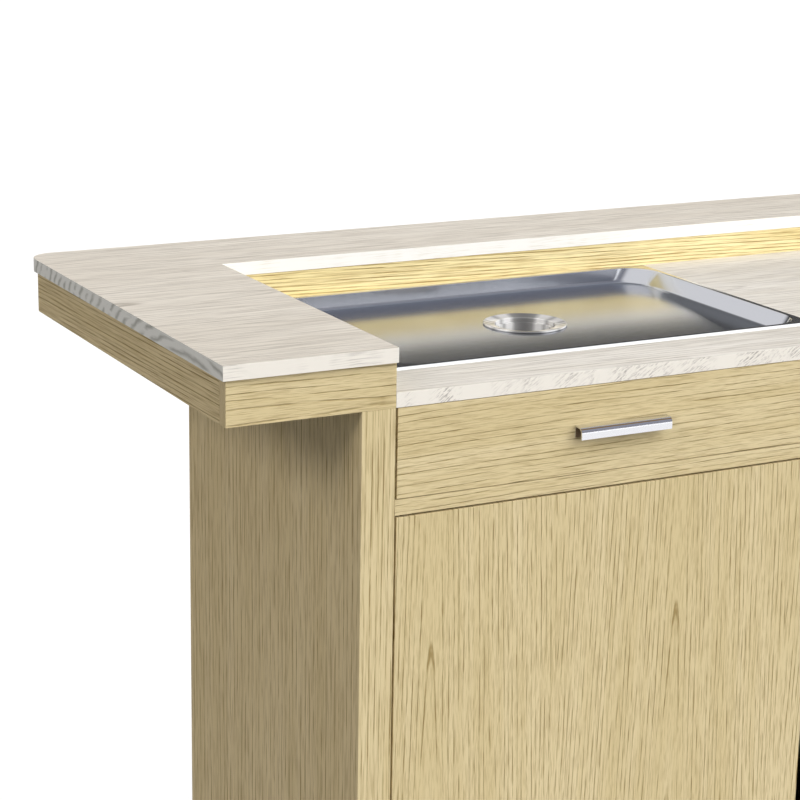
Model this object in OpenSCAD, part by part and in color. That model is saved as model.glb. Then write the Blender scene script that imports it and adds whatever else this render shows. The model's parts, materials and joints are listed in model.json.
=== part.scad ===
// Home bar cabinet: a raised U-shaped bar top round a lower worktop with a shallow sink,
// on a cupboard with two drawers over two doors.
// Millimetres. +Z is up, +X runs along the bar, and the person serving stands at -Y.
// The origin is on the floor, under the middle of the whole cabinet.

/* [Overall] */
// Length of the bar, over the side aprons
bar_length = 1676; // [1600:1:1900]
// Depth of the bar, from the fronts to the rear apron's outer face
bar_depth = 670; // [655:1:720]
// Height of the raised bar top above the floor
bar_height = 1050; // [950:1:1150]

/* [Raised top] */
// Thickness of the raised top board
top_t = 18; // [15:0.5:25]
// How far the raised top stands out past the aprons
top_overhang = 5; // [2:0.5:12]
// How far the wings' tops stand out past the wing fascias
wing_lip = 0; // [0:0.5:8]
// How far the rear strip's top stands out past the rear fascia
rear_lip = 1; // [0:0.5:6]
// Plan radius of the aprons' two rear corners
rear_corner_r = 30; // [20:1:40]
// Height of the outer aprons
apron_h = 55; // [45:1:75]
// Thickness of the aprons and fascias
apron_t = 18; // [12:0.5:22]
// Width of the rear strip, from the rear fascia's face to the rear apron's outer face
rear_strip_w = 156.5; // [130:0.5:175]
// Width of the battens under the raised top
batten_w = 30; // [20:1:45]
// Distance from an apron or a fascia to the batten beside its end
batten_inset = 120; // [60:1:160]

/* [Worktop] */
// Thickness of the worktop board
worktop_t = 18; // [15:0.5:25]

/* [Carcass] */
// How far each wing overhangs the side panel
side_overhang = 169; // [140:0.5:200]
// Thickness of the side panels
side_t = 44; // [30:1:60]
// Depth of the body, from the fronts to the back panel's outer face
body_depth = 526; // [490:1:560]
// Thickness of the back panel
back_t = 18; // [12:0.5:22]
// Thickness of the bottom panel, the partition and the shelf
board_t = 18; // [15:0.5:22]
// Height of the bottom panel's underside above the floor
plinth_h = 80; // [60:1:120]
// How far the plinth stands back from the fronts
plinth_setback = 50; // [30:1:80]
// Thickness of the plinth board
plinth_t = 16; // [12:1:20]
// How far the partition's edge stands back between the doors
partition_setback = 42; // [32:1:60]
// Height of the rail between the drawers and the doors
rail_h = 19.5; // [16:0.5:24]
// Depth of that rail
rail_d = 60; // [40:1:90]
// Height of the opening for the drawers, from the rail to the worktop
drawer_zone_h = 111; // [105:1:140]

/* [Shelf] */
// Height of the shelf above the bottom panel
shelf_height = 360; // [200:1:450]
// How far the shelf stands back from the fronts
shelf_setback = 62; // [48:1:120]
// Clearance at each end of the shelf
shelf_gap = 0.8; // [0.3:0.1:2]
// Radius of a shelf pin
shelf_pin_r = 2.5; // [2:0.25:4]
// Depth of a shelf pin's hole
shelf_pin_depth = 8; // [6:0.5:8.5]
// How far a shelf pin stands out under the shelf
shelf_pin_out = 9; // [7:0.5:14]
// Distance from the shelf's edges to its pins
shelf_pin_inset = 45; // [30:1:80]
// Spacing of the rows of shelf pin holes
shelf_row_pitch = 64; // [32:32:96]

/* [Fronts] */
// Thickness of the doors and the drawer fronts
front_t = 18; // [16:0.5:22]
// Gap beside the fronts and over and under the doors
reveal = 2.5; // [2:0.1:4]
// Gap over and under a drawer front
drawer_reveal = 0.8; // [0.5:0.1:2]
// Gap between a closed drawer front and the partition's edge
stop_gap = 0.5; // [0.3:0.1:1]
// Width of the finger gap between the two doors
finger_gap = 22; // [22:1:50]

/* [Drawers] */
// Clearance between the left drawer's box and the strainer's lock nut
waste_gap = 22; // [8:1:60]
// Clearance between the right drawer's box and the brackets on the back panel
box_rear_gap = 21; // [2:1:150]
// Height of a drawer box
box_h = 80; // [60:1:84]
// Gap under a drawer box
box_rise = 8; // [6:0.5:10]
// Thickness of a drawer box's walls
box_wall = 12; // [9:0.5:16]
// Thickness of a drawer's bottom
box_floor_t = 6; // [4:0.5:8]
// Depth of the groove that holds a drawer's bottom
box_groove = 5; // [3:0.5:6]
// Height of that groove above the box's lower edge
box_groove_rise = 8; // [6:0.5:12]
// Space that a runner takes on each side of a drawer box
runner_space = 12.7; // [10:0.1:14]
// Height of a runner
runner_h = 35; // [27:1:40]
// Height of a runner's lower edge above the box's lower edge
runner_rise = 10; // [4:1:18]
// Sheet thickness of a runner
runner_sheet = 1.2; // [1:0.1:1.6]
// Running clearance over and under a runner's inner channel
runner_clear = 0.3; // [0.2:0.05:0.5]
// Gap between each channel's flanges and the other channel's web
runner_web_gap = 1; // [0.5:0.1:2]
// How far a runner ends short of the drawer box
runner_short = 6; // [2:1:20]

/* [Pulls] */
// Length of a drawer pull
pull_len = 130; // [96:1:160]
// Height of a drawer pull
pull_h = 15; // [12:0.5:18]
// How far a drawer pull stands out from the drawer front
pull_reach = 16.5; // [15:0.5:22]
// Wall thickness of a drawer pull
pull_wall = 2; // [1.5:0.25:3]
// Radius of a pull's rounded upper front
pull_nose_r = 8; // [5:0.5:9]
// Distance from a pull's end to its screw
pull_screw_inset = 17; // [10:1:30]
// Length of the screw bosses inside a pull
pull_boss_len = 9; // [6:0.5:10]
// Wall of a screw boss
pull_boss_wall = 2; // [1.5:0.25:2.5]
// Radius of a pull's screw
pull_screw_r = 2; // [1.5:0.25:2.5]
// Height of a pull screw's head
pull_screw_head_h = 2.4; // [2:0.1:3]
// Clearance round a screw that passes through a piece
screw_clear = 0.3; // [0.1:0.1:0.6]

/* [Door pivots] */
// Distance of a door's pivot from its hinge edge
pivot_inset = 12; // [11:0.5:16]
// Distance of a door's pivot from its face
pivot_depth = 6; // [6:0.5:7]
// Radius of a pivot pin
pivot_r = 2.5; // [2:0.25:3]
// Length of a pivot pin inside the door
pivot_in_door = 30; // [20:1:40]
// Length of a pivot bush inside its board
bush_len = 13; // [8:0.5:14]
// Wall of a pivot bush
bush_wall = 1.5; // [1:0.1:2]
// Running clearance round a pivot pin
pivot_clear = 0.06; // [0.03:0.01:0.1]
// How far a pivot pin ends short of its bush's end
pivot_short = 2; // [1:0.5:4]
// How far a bush's collar stays behind the door's face
collar_setback = 0.7; // [0.3:0.1:1]
// Gap between a bush's collar and the door
collar_gap = 0.3; // [0.2:0.05:0.5]

/* [Door catches] */
// Width of a magnetic catch
catch_w = 42; // [30:1:60]
// Height of a magnetic catch
catch_h = 13; // [10:0.5:16]
// Depth of a magnetic catch
catch_d = 15; // [10:0.5:20]
// Distance from a door's free edge to its catch
catch_inset = 30; // [20:1:80]
// Thickness of the strike plate on the door
strike_t = 1.2; // [1:0.1:2]
// Gap between a catch and its strike plate
catch_gap = 0.3; // [0.2:0.05:0.5]
// How far a strike plate ends below the door's upper edge
strike_drop = 1; // [0.5:0.5:3]

/* [Sink] */
// Length of the sink over its rim
sink_w = 621; // [560:1:660]
// Distance from the fronts to the sink's rim
sink_setback = 92; // [70:0.5:95]
// Distance from the rear fascia to the sink's rim
sink_rear_gap = 16.5; // [10:0.5:40]
// Distance from the left wing's fascia to the sink's rim
sink_side_gap = 43; // [25:0.5:60]
// Sheet thickness of the sink
sink_sheet = 1; // [0.8:0.1:1.2]
// Height of the sink's rim above the worktop
rim_rise = 4; // [3:0.5:8]
// Width of the sink's rim
rim_w = 7; // [7:0.5:15]
// Plan radius of the rim's outer corners
rim_corner_r = 3; // [2:0.5:8]
// Plan radius of the bowl's inner corners
bowl_corner_r = 45; // [20:1:80]
// Clearance round the bowl in the worktop's cut-out
cutout_clear = 2; // [1:0.5:2.5]
// Width of the seal under the rim
seal_w = 2; // [1.5:0.25:2.5]
// Clearance between the seal and the rim's edge
seal_clear = 0.2; // [0.1:0.1:0.5]

/* [Strainer] */
// How far the strainer stands behind the sink's middle
drain_offset = 15.5; // [0:0.5:25]
// Radius of the strainer's flange
flange_r = 56.5; // [50:0.5:60]
// Height of the flange above the sink's floor
flange_t = 2.5; // [1.5:0.25:4]
// Inner radius of the strainer's cup
cup_r = 40; // [36:0.5:42]
// Wall of the strainer's cup
cup_wall = 2.5; // [1.5:0.25:3]
// Depth of the strainer's cup below the sink's floor
cup_depth = 44; // [38:1:60]
// Clearance round the strainer's cup in the sink's floor
cup_clear = 0.4; // [0.2:0.1:1]
// Thickness of the rubber washer under the sink
washer_t = 3; // [2:0.5:5]
// Height of the strainer's lock nut
locknut_h = 10; // [8:1:16]
// Width of the lock nut's and washer's ring
locknut_w = 7; // [5:0.5:10]
// Clearance between the basket and the strainer's cup
basket_clear = 1; // [0.5:0.1:1.5]
// Sheet thickness of the basket
basket_sheet = 1; // [0.8:0.1:1.5]
// Depth of the basket
basket_depth = 34; // [22:1:36]
// Width of the basket's lip
basket_lip = 3; // [2:0.5:4]
// Height of the basket's foot
basket_foot_h = 4; // [3:0.5:6]
// Clearance under the basket's foot
basket_rest = 0.3; // [0.2:0.05:0.5]
// Radius of the holes in the basket's floor
basket_hole_r = 2; // [1.5:0.25:2.5]
// Radius of the innermost ring of those holes
basket_ring_r = 12.5; // [11:0.5:13.5]
// Spacing of the rings of holes
basket_ring_pitch = 8; // [7:0.5:9]
// Radius of the basket's knob
knob_r = 6; // [5:0.5:8]
// Height of the basket's knob
knob_h = 14; // [10:1:18]

/* [Waste] */
// Outer radius of the waste pipe
pipe_r = 20; // [16:0.5:21]
// Wall of the waste pipe
pipe_wall = 2; // [1.5:0.25:3]
// Length of the tailpiece between the strainer and the trap
tail_len = 110; // [90:1:160]
// How far the tailpiece enters the strainer's socket and the trap
pipe_entry = 18; // [12:1:22]
// Clearance round a pipe in a socket
pipe_clear = 0.2; // [0.1:0.05:0.4]
// Wall of a socket and of the trap
socket_wall = 3; // [2:0.25:4]
// Height of the sockets on the trap
socket_h = 16; // [14:1:24]
// Clearance between a union nut or the trap's cup and its thread
thread_clear = 0.2; // [0.1:0.05:0.4]
// Wall of a union nut
nut_wall = 3; // [2:0.5:5]
// Height of a union nut
nut_h = 20; // [16:1:28]
// Thickness of a union nut's lip, which grips the pipe
nut_lip = 6; // [4:0.5:8]
// Outer radius of the bottle trap
trap_r = 34; // [32:1:45]
// Height of the bottle trap's body
trap_h = 90; // [80:1:120]
// Height of the trap's cup
trap_cup_h = 50; // [35:1:70]
// How far the cup's collar goes up round the trap's body
cup_collar_h = 16; // [10:1:20]
// Clearance between the down pipe and the back panel
pipe_back_gap = 24; // [16:1:60]
// Bend radius of the waste elbow
elbow_r = 40; // [36:1:50]
// Length of the waste elbow's straight ends
elbow_end = 16; // [12:1:20]
// Height of the down pipe's open end above the floor
outlet_rise = 20; // [10:1:40]
// Clearance round the down pipe in the bottom panel
floor_hole_clear = 6; // [3:0.5:12]
// How far the down pipe's cover ring overlaps the bottom panel round the hole
cover_lap = 8; // [4:0.5:15]
// Thickness of that cover ring
cover_t = 3; // [2:0.5:5]

/* [Fittings] */
// Length of an angle bracket's legs
bracket_leg = 25; // [20:1:30]
// Width of an angle bracket
bracket_w = 22; // [16:1:30]
// Sheet thickness of an angle bracket
bracket_sheet = 2; // [1.5:0.25:3]
// Radius of a bracket screw's shank
screw_r = 1.75; // [1.5:0.25:2.25]
// Length of a bracket screw's shank
screw_len = 14; // [10:1:14]
// Radius of a bracket screw's head
screw_head_r = 4; // [3:0.25:5]
// Height of a bracket screw's head
screw_head_h = 2.2; // [1.5:0.1:3]
// Width of a sink clip
clip_w = 26; // [20:1:40]
// Length of a sink clip
clip_len = 30; // [26:1:40]
// Thickness of a sink clip
clip_t = 2; // [1.5:0.25:3]
// Distance from the sink's edges to the nearest clip on the next edge
clip_inset = 100; // [60:1:120]
// Distance from the fronts to the front brackets
bracket_front = 110; // [70:1:160]
// Distance from the back panel to the rear brackets on the side panels
bracket_rear = 70; // [40:1:120]
// Distance from the right side panel to the first bracket on the back panel
bracket_side = 150; // [80:1:220]
// Spacing of the brackets on the back panel
bracket_pitch = 240; // [100:1:280]
// Radius of a foot glide
glide_r = 16; // [12:1:20]
// Height of a foot glide
glide_h = 5; // [3:0.5:10]
// Distance from a side panel's front and rear edges to its glides
glide_inset = 60; // [30:1:100]

/* [Hidden] */
$fn = 48;

// Directions: a part drawn for the right half is mirrored for the left half
LEFT = -1;
RIGHT = 1;
// Sheet-metal holes and cuts run this far past the faces that they open
past = 1;

// Plan: depths are measured back from the fronts' face
front_y = (pull_reach - bar_depth - top_overhang) / 2;
half_l = bar_length / 2;
body_half = half_l - side_overhang;
bay_half = body_half - side_t;
inner_depth = body_depth - back_t;
fascia_depth = bar_depth - rear_strip_w;

// Heights above the floor
top_under = bar_height - top_t;
apron_z = top_under - apron_h;
work_z = apron_z + worktop_t;
rail_top = apron_z - drawer_zone_h;
rail_z = rail_top - rail_h;
floor_z = plinth_h + board_t;
door_z = floor_z + reveal;
door_top = rail_z - reveal;
shelf_z = floor_z + shelf_height;

// Fronts
drawer_in = reveal / 2;
drawer_out = bay_half - reveal;
drawer_front_mid_z = rail_top + drawer_zone_h / 2;
pull_screw_x = pull_len / 2 - pull_screw_inset;
pull_hollow = pull_reach - 2 * pull_wall;
door_in = finger_gap / 2;
door_out = bay_half - reveal;
pivot_x = door_out - pivot_inset;

// Drawer boxes
box_in = board_t / 2 + runner_space;
box_out = bay_half - runner_space;
pull_mid = (box_in + box_out) / 2;
box_z = rail_top + box_rise;
box_floor_z = box_z + box_groove_rise;
box_floor_in = box_wall - box_groove;
runner_mid_z = box_z + runner_rise + runner_h / 2;
runner_flange = runner_space - runner_sheet - runner_web_gap;
right_box_d = inner_depth - front_t - bracket_leg - box_rear_gap;

// Sink and strainer
sink_d = fascia_depth - sink_setback - sink_rear_gap;
sink_x = sink_side_gap + sink_w / 2 - bay_half;
sink_mid_depth = sink_setback + sink_d / 2;
drain_depth = sink_mid_depth + drain_offset;
rim_z = work_z + rim_rise;
bowl_w = sink_w - 2 * rim_w;
bowl_d = sink_d - 2 * rim_w;
bowl_floor_z = apron_z + sink_sheet;
cup_out_r = cup_r + cup_wall;
cup_floor_z = bowl_floor_z - cup_depth;
locknut_out_r = cup_out_r + cup_clear + locknut_w;
left_box_d = drain_depth - locknut_out_r - waste_gap - front_t;
spigot_in_r = pipe_r + pipe_clear;
spigot_out_r = spigot_in_r + socket_wall;
spigot_len = pipe_entry + socket_wall;
basket_top_r = cup_r - basket_clear;
basket_out_r = basket_top_r - basket_lip;
basket_foot_z = cup_floor_z + basket_rest;
basket_floor_z = basket_foot_z + basket_foot_h;
basket_top_z = basket_floor_z + basket_depth;
basket_rings = [8, 14, 20];

// Waste
spigot_z = cup_floor_z - cup_wall - spigot_len;
tail_top = spigot_z + pipe_entry;
tail_z = tail_top - tail_len;
trap_top = tail_z + pipe_entry;
trap_body_top = trap_top - socket_h;
trap_z = trap_body_top - trap_h;
trap_outlet_z = trap_body_top - trap_h / 2;
trap_collar_r = trap_r + thread_clear + socket_wall;
outlet_end = trap_r + socket_h;
elbow_start = outlet_end - pipe_entry;
pipe_depth = inner_depth - pipe_back_gap - pipe_r;
waste_run = pipe_depth - drain_depth;
elbow_foot_z = trap_outlet_z - elbow_r - elbow_end;

// Places that repeat
bracket_depths = [bracket_front, inner_depth - bracket_rear];
bracket_back_x = [for (i = [0, 1]) bay_half - bracket_side - i * bracket_pitch];
batten_depths = [batten_inset, fascia_depth - batten_inset - batten_w];
batten_x = [batten_w / 2 + batten_inset - bay_half, 0, bay_half - batten_inset - batten_w / 2];
clip_x = [clip_inset - sink_w / 2, 0, sink_w / 2 - clip_inset];
clip_in = rim_w - sink_sheet - cutout_clear / 2;
shelf_rows = [-1, 0, 1];
shelf_pin_depths = [shelf_setback + shelf_pin_inset, inner_depth - shelf_pin_inset];

// A depth behind the fronts, as a Y value
function back(depth) = front_y + depth;

// A board from its lowest corner to its highest corner
module board(low, high) {
    translate(low)
        cube(high - low);
}

// Draws its children on the right half, or mirrored on the left half
module on_side(side) {
    if (side == RIGHT)
        children();
    else
        mirror([1, 0, 0])
            children();
}

// A rectangle with round corners, centred, made of exact arcs
module round_rect(w, d, r) {
    square([w - 2 * r, d], center = true);
    square([w, d - 2 * r], center = true);
    for (x = [-1, 1], y = [-1, 1])
        translate([x * (w / 2 - r), y * (d / 2 - r)])
            circle(r);
}

// A ring or tube that stands on z = 0
module tube(outer, inner, h) {
    difference() {
        cylinder(r = outer, h = h);
        translate([0, 0, -past])
            cylinder(r = inner, h = h + 2 * past);
    }
}

// Raised U-shaped top, in one board, with its grain along the bar
module raised_top() {
    well_half = bay_half - wing_lip;
    well_depth = fascia_depth - rear_lip;
    color("#dcd6cb")
        difference() {
            translate([0, 0, top_under])
                linear_extrude(top_t)
                    bar_plan(top_overhang);
            board(
                [-well_half, back(-top_overhang - past), top_under - past],
                [well_half, back(well_depth), bar_height + past]);
        }
}

// Plan of the whole bar with its two rear corners rounded, grown by the given amount
module bar_plan(grow) {
    difference() {
        translate([-half_l - grow, back(-grow)])
            square([bar_length + 2 * grow, bar_depth + 2 * grow]);
        for (x = [-1, 1])
            translate([x * (half_l + grow), back(bar_depth + grow)])
                corner_waste(x, rear_corner_r + grow);
    }
}

// What the corner at the origin loses when it is rounded to the radius r
module corner_waste(x, r) {
    difference() {
        translate([x * (past - r) / 2, (past - r) / 2])
            square(r + past, center = true);
        translate([-x * r, -r])
            circle(r);
    }
}

// Battens that carry the raised top between the fascias and the aprons
module top_battens() {
    color("#c9b98d") {
        for (side = [LEFT, RIGHT], depth = batten_depths)
            on_side(side)
                board(
                    [bay_half + apron_t, back(depth), work_z],
                    [half_l - apron_t, back(depth + batten_w), top_under]);
        for (x = batten_x)
            board(
                [x - batten_w / 2, back(fascia_depth + apron_t), work_z],
                [x + batten_w / 2, back(bar_depth - apron_t), top_under]);
    }
}

// Apron across the end of a wing, flush with the fronts
module front_apron(side) {
    color("#d4c398")
        on_side(side)
            board([bay_half, back(0), apron_z], [half_l, back(apron_t), top_under]);
}

// Apron along the outside of a wing
module side_apron(side) {
    color("#d4c398")
        on_side(side)
            outer_apron([half_l - apron_t, back(apron_t)], [apron_t, bar_depth - 2 * apron_t]);
}

// Apron along the guests' side
module rear_apron() {
    color("#d4c398")
        outer_apron([-half_l, back(bar_depth - apron_t)], [bar_length, apron_t]);
}

// An apron on a rectangle of the plan, rounded where it meets the bar's rear corners
module outer_apron(corner, size) {
    translate([0, 0, apron_z])
        linear_extrude(apron_h)
            intersection() {
                bar_plan(0);
                translate(corner)
                    square(size);
            }
}

// Fascia that stands on the worktop along a wing
module wing_fascia(side) {
    color("#d4c398")
        on_side(side)
            board(
                [bay_half, back(apron_t), work_z],
                [bay_half + apron_t, back(fascia_depth + apron_t), top_under]);
}

// Fascia that stands on the worktop behind the sink
module rear_fascia() {
    color("#e6d596")
        board(
            [-bay_half, back(fascia_depth), work_z],
            [bay_half, back(fascia_depth + apron_t), top_under]);
}

// Worktop, which runs on under the raised top out to the aprons
module worktop() {
    color("#dcd6cb")
        difference() {
            union() {
                board(
                    [apron_t - half_l, back(apron_t), apron_z],
                    [half_l - apron_t, back(bar_depth - apron_t), work_z]);
                board([-bay_half, back(0), apron_z], [bay_half, back(apron_t), work_z]);
            }
            translate([sink_x, back(sink_mid_depth), apron_z - past])
                linear_extrude(worktop_t + 2 * past)
                    bowl_outline(sink_sheet + cutout_clear);
            bracket_screw_set(screw_r);
        }
}

// Outline of the sink's bowl, grown by the given amount
module bowl_outline(grow) {
    round_rect(bowl_w + 2 * grow, bowl_d + 2 * grow, bowl_corner_r + grow);
}

// Thick side panel, whose front edge shows as a post
module side_panel(side) {
    color("#d4c398")
        difference() {
            on_side(side)
                board([bay_half, back(0), glide_h], [body_half, back(inner_depth), apron_z]);
            bracket_screw_set(screw_r);
            if (side == RIGHT)
                shelf_pin_holes();
        }
}

// Back panel on the guests' side, over the side panels' rear edges
module back_panel() {
    color("#d4c398")
        difference() {
            board(
                [-body_half, back(inner_depth), glide_h],
                [body_half, back(body_depth), apron_z]);
            bracket_screw_set(screw_r);
        }
}

// Bottom panel, with the lower pivots' sockets and the hole for the down pipe
module bottom_panel() {
    color("#d4c398")
        difference() {
            board([-bay_half, back(0), plinth_h], [bay_half, back(inner_depth), floor_z]);
            for (side = [LEFT, RIGHT])
                translate([side * pivot_x, back(pivot_depth), floor_z - bush_len])
                    cylinder(r = pivot_r + pivot_clear + bush_wall, h = bush_len + past);
            translate([sink_x, back(pipe_depth), plinth_h - past])
                cylinder(r = pipe_r + floor_hole_clear, h = board_t + 2 * past);
        }
}

// Plinth board, set back under the bottom panel
module plinth_board() {
    color("#bda97a")
        board(
            [-bay_half, back(plinth_setback), glide_h],
            [bay_half, back(plinth_setback + plinth_t), plinth_h]);
}

// Partition between the two bays, cut back between the doors and notched for the rail
module centre_partition() {
    color("#d4c398")
        difference() {
            board(
                [-board_t / 2, back(front_t + stop_gap), floor_z],
                [board_t / 2, back(inner_depth), apron_z]);
            board(
                [-board_t, back(0), floor_z - past],
                [board_t, back(partition_setback), rail_z]);
            board([-board_t, back(0), rail_z - past], [board_t, back(rail_d), rail_top]);
            shelf_pin_holes();
        }
}

// Rail between the drawers and the doors, with the upper pivots' sockets
module cross_rail() {
    color("#d4c398")
        difference() {
            board([-bay_half, back(0), rail_z], [bay_half, back(rail_d), rail_top]);
            for (side = [LEFT, RIGHT])
                translate([side * pivot_x, back(pivot_depth), rail_z - past])
                    cylinder(r = pivot_r + pivot_clear + bush_wall, h = bush_len + past);
        }
}

// Shelf in the right bay
module shelf() {
    color("#d4c398")
        board(
            [board_t / 2 + shelf_gap, back(shelf_setback), shelf_z],
            [bay_half - shelf_gap, back(inner_depth - shelf_gap), shelf_z + board_t]);
}

// Rows of holes for the shelf pins, in the partition and the right side panel
module shelf_pin_holes() {
    for (row = shelf_rows, depth = shelf_pin_depths)
        translate([0, back(depth), shelf_z - shelf_pin_r + row * shelf_row_pitch])
            rotate([0, 90, 0]) {
                translate([0, 0, board_t / 2 - shelf_pin_depth])
                    cylinder(r = shelf_pin_r, h = shelf_pin_depth + past);
                translate([0, 0, bay_half - past])
                    cylinder(r = shelf_pin_r, h = shelf_pin_depth + past);
            }
}

// Pins that carry the shelf
module shelf_pins() {
    pin_len = shelf_pin_depth + shelf_pin_out;
    color("silver")
        for (depth = shelf_pin_depths)
            translate([0, back(depth), shelf_z - shelf_pin_r])
                rotate([0, 90, 0]) {
                    translate([0, 0, board_t / 2 - shelf_pin_depth])
                        cylinder(r = shelf_pin_r, h = pin_len);
                    translate([0, 0, bay_half - shelf_pin_out])
                        cylinder(r = shelf_pin_r, h = pin_len);
                }
}

// One angle bracket in the corner under the worktop; its upright leg is on the plane x = 0
module angle_bracket() {
    difference() {
        union() {
            board([-bracket_leg, -bracket_w / 2, -bracket_sheet], [0, bracket_w / 2, 0]);
            board([-bracket_sheet, -bracket_w / 2, -bracket_leg], [0, bracket_w / 2, 0]);
        }
        bracket_screws_at(screw_r + screw_clear, screw_r + screw_clear);
    }
}

// The two screws of one bracket, one up into the worktop and one into the panel
module bracket_screws_at(shank_r, head_r) {
    hole_mid = bracket_leg * 0.6;
    translate([-hole_mid, 0, -bracket_sheet - screw_head_h])
        bracket_screw(shank_r, head_r);
    translate([-bracket_sheet - screw_head_h, 0, -hole_mid])
        rotate([0, 90, 0])
            bracket_screw(shank_r, head_r);
}

// One screw, from its head up along +Z
module bracket_screw(shank_r, head_r) {
    cylinder(r = head_r, h = screw_head_h);
    cylinder(r = shank_r, h = screw_head_h + bracket_sheet + screw_len);
}

// Puts its children at each bracket
module at_brackets() {
    for (side = [LEFT, RIGHT], depth = bracket_depths)
        on_side(side)
            translate([bay_half, back(depth), apron_z])
                children();
    for (x = bracket_back_x)
        translate([x, back(inner_depth), apron_z])
            rotate([0, 0, 90])
                children();
}

// All the bracket screws, or the pilot holes that they make in the boards
module bracket_screw_set(shank_r, head_r = 0) {
    at_brackets()
        bracket_screws_at(shank_r, max(head_r, shank_r));
}

// Angle brackets that tie the worktop to the panels
module angle_brackets() {
    color("silver")
        at_brackets()
            angle_bracket();
}

// Screws in the angle brackets
module bracket_screws() {
    color("gray")
        bracket_screw_set(screw_r, screw_head_r);
}

// Nylon glides under the side panels, the plinth and the back panel
module foot_glides() {
    color("#3a3a3a") {
        for (side = [LEFT, RIGHT], depth = [glide_inset, inner_depth - glide_inset])
            translate([side * (bay_half + side_t / 2), back(depth), 0])
                cylinder(r = glide_r, h = glide_h);
        for (x = [-bay_half / 2, bay_half / 2])
            translate([x, back(plinth_setback + plinth_t / 2), 0])
                cylinder(r = plinth_t / 2, h = glide_h);
        translate([0, back(body_depth - back_t / 2), 0])
            cylinder(r = back_t / 2, h = glide_h);
    }
}

// Drawer front, with the holes for its pull's screws
module drawer_front(side) {
    color("#d4c398")
        on_side(side)
            difference() {
                board(
                    [drawer_in, back(0), rail_top + drawer_reveal],
                    [drawer_out, back(front_t), apron_z - drawer_reveal]);
                pull_screw_holes();
            }
}

// The two holes through a drawer front and the box's front wall
module pull_screw_holes() {
    at_pull_screws()
        translate([0, 0, -past])
            cylinder(r = pull_screw_r + screw_clear, h = front_t + box_wall + 2 * past);
}

// Puts its children at a pull's screws, with +Z into the drawer
module at_pull_screws() {
    for (x = [-1, 1])
        translate([pull_mid + x * pull_screw_x, back(0), drawer_front_mid_z])
            rotate([-90, 0, 0])
                children();
}

// The space that a drawer's bottom takes
module drawer_bottom_space(depth) {
    board(
        [box_in + box_floor_in, back(front_t + box_floor_in), box_floor_z],
        [box_out - box_floor_in, back(front_t + depth - box_floor_in), box_floor_z + box_floor_t]);
}

// The two side walls of a drawer box
module drawer_sides(side, depth) {
    color("#cdbf9a")
        on_side(side)
            difference() {
                for (x = [box_in, box_out - box_wall])
                    board(
                        [x, back(front_t), box_z],
                        [x + box_wall, back(front_t + depth), box_z + box_h]);
                drawer_bottom_space(depth);
            }
}

// The front and rear walls of a drawer box, between its sides
module drawer_ends(side, depth) {
    color("#cdbf9a")
        on_side(side)
            difference() {
                for (y = [front_t, front_t + depth - box_wall])
                    board(
                        [box_in + box_wall, back(y), box_z],
                        [box_out - box_wall, back(y + box_wall), box_z + box_h]);
                drawer_bottom_space(depth);
                pull_screw_holes();
            }
}

// The bottom of a drawer box, held in grooves
module drawer_bottom(side, depth) {
    color("#d8cfb4")
        on_side(side)
            drawer_bottom_space(depth);
}

// Outline of a pull or of its hollow: flat on top, round at the upper front
module pull_outline(w, h, nose_r) {
    square([w - nose_r, h]);
    square([w, h - nose_r]);
    intersection() {
        square([w, h]);
        translate([w - nose_r, h - nose_r])
            circle(nose_r);
    }
}

// Section of a drawer pull, open below for the fingers
module pull_section() {
    difference() {
        pull_outline(pull_reach, pull_h, pull_nose_r);
        translate([pull_wall, -past])
            pull_outline(pull_hollow, pull_h - pull_wall + past, pull_nose_r - pull_wall);
    }
}

// Drawer pull: an extruded hood that the fingers go under, with two screw bosses
module drawer_pull(side) {
    screw_depth = pull_boss_len - pull_boss_wall;
    color("#c9cbd2")
        on_side(side)
            difference() {
                union() {
                    translate([pull_mid, back(0), drawer_front_mid_z - pull_h / 2])
                        rotate([90, 0, -90])
                            linear_extrude(pull_len, center = true)
                                pull_section();
                    at_pull_screws()
                        translate([0, 0, -pull_boss_len])
                            cylinder(r = pull_screw_r + pull_boss_wall, h = pull_boss_len);
                }
                at_pull_screws()
                    translate([0, 0, -screw_depth])
                        cylinder(r = pull_screw_r, h = pull_boss_len);
            }
}

// The two screws of a drawer pull, put in from inside the drawer
module pull_screws(side) {
    screw_depth = pull_boss_len - pull_boss_wall;
    color("gray")
        on_side(side)
            at_pull_screws() {
                translate([0, 0, -screw_depth])
                    cylinder(r = pull_screw_r, h = screw_depth + front_t + box_wall);
                translate([0, 0, front_t + box_wall])
                    cylinder(r = pull_screw_r + pull_boss_wall, h = pull_screw_head_h);
            }
}

// Puts its children at a drawer's two runners, with +X from the carcass to the drawer box
module at_runners() {
    for (flip = [0, 1])
        translate([flip ? bay_half : board_t / 2, back(front_t + runner_short), runner_mid_z])
            mirror([flip, 0, 0])
                children();
}

// Fixed outer channels of a drawer's runners
module runner_rails(side, depth) {
    color("silver")
        on_side(side)
            at_runners()
                channel(runner_h, depth - 2 * runner_short);
}

// Moving inner channels, fixed to the drawer box
module runner_slides(side, depth) {
    inner_h = runner_h - 2 * runner_sheet - 2 * runner_clear;
    color("gainsboro")
        on_side(side)
            at_runners()
                translate([runner_space, 0, 0])
                    mirror([1, 0, 0])
                        channel(inner_h, depth - 2 * runner_short);
}

// A channel with its web at x = 0 and its flanges towards +X
module channel(h, len) {
    board([0, 0, -h / 2], [runner_sheet, len, h / 2]);
    for (z = [-h / 2, h / 2 - runner_sheet])
        board([0, 0, z], [runner_flange, len, z + runner_sheet]);
}

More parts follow.
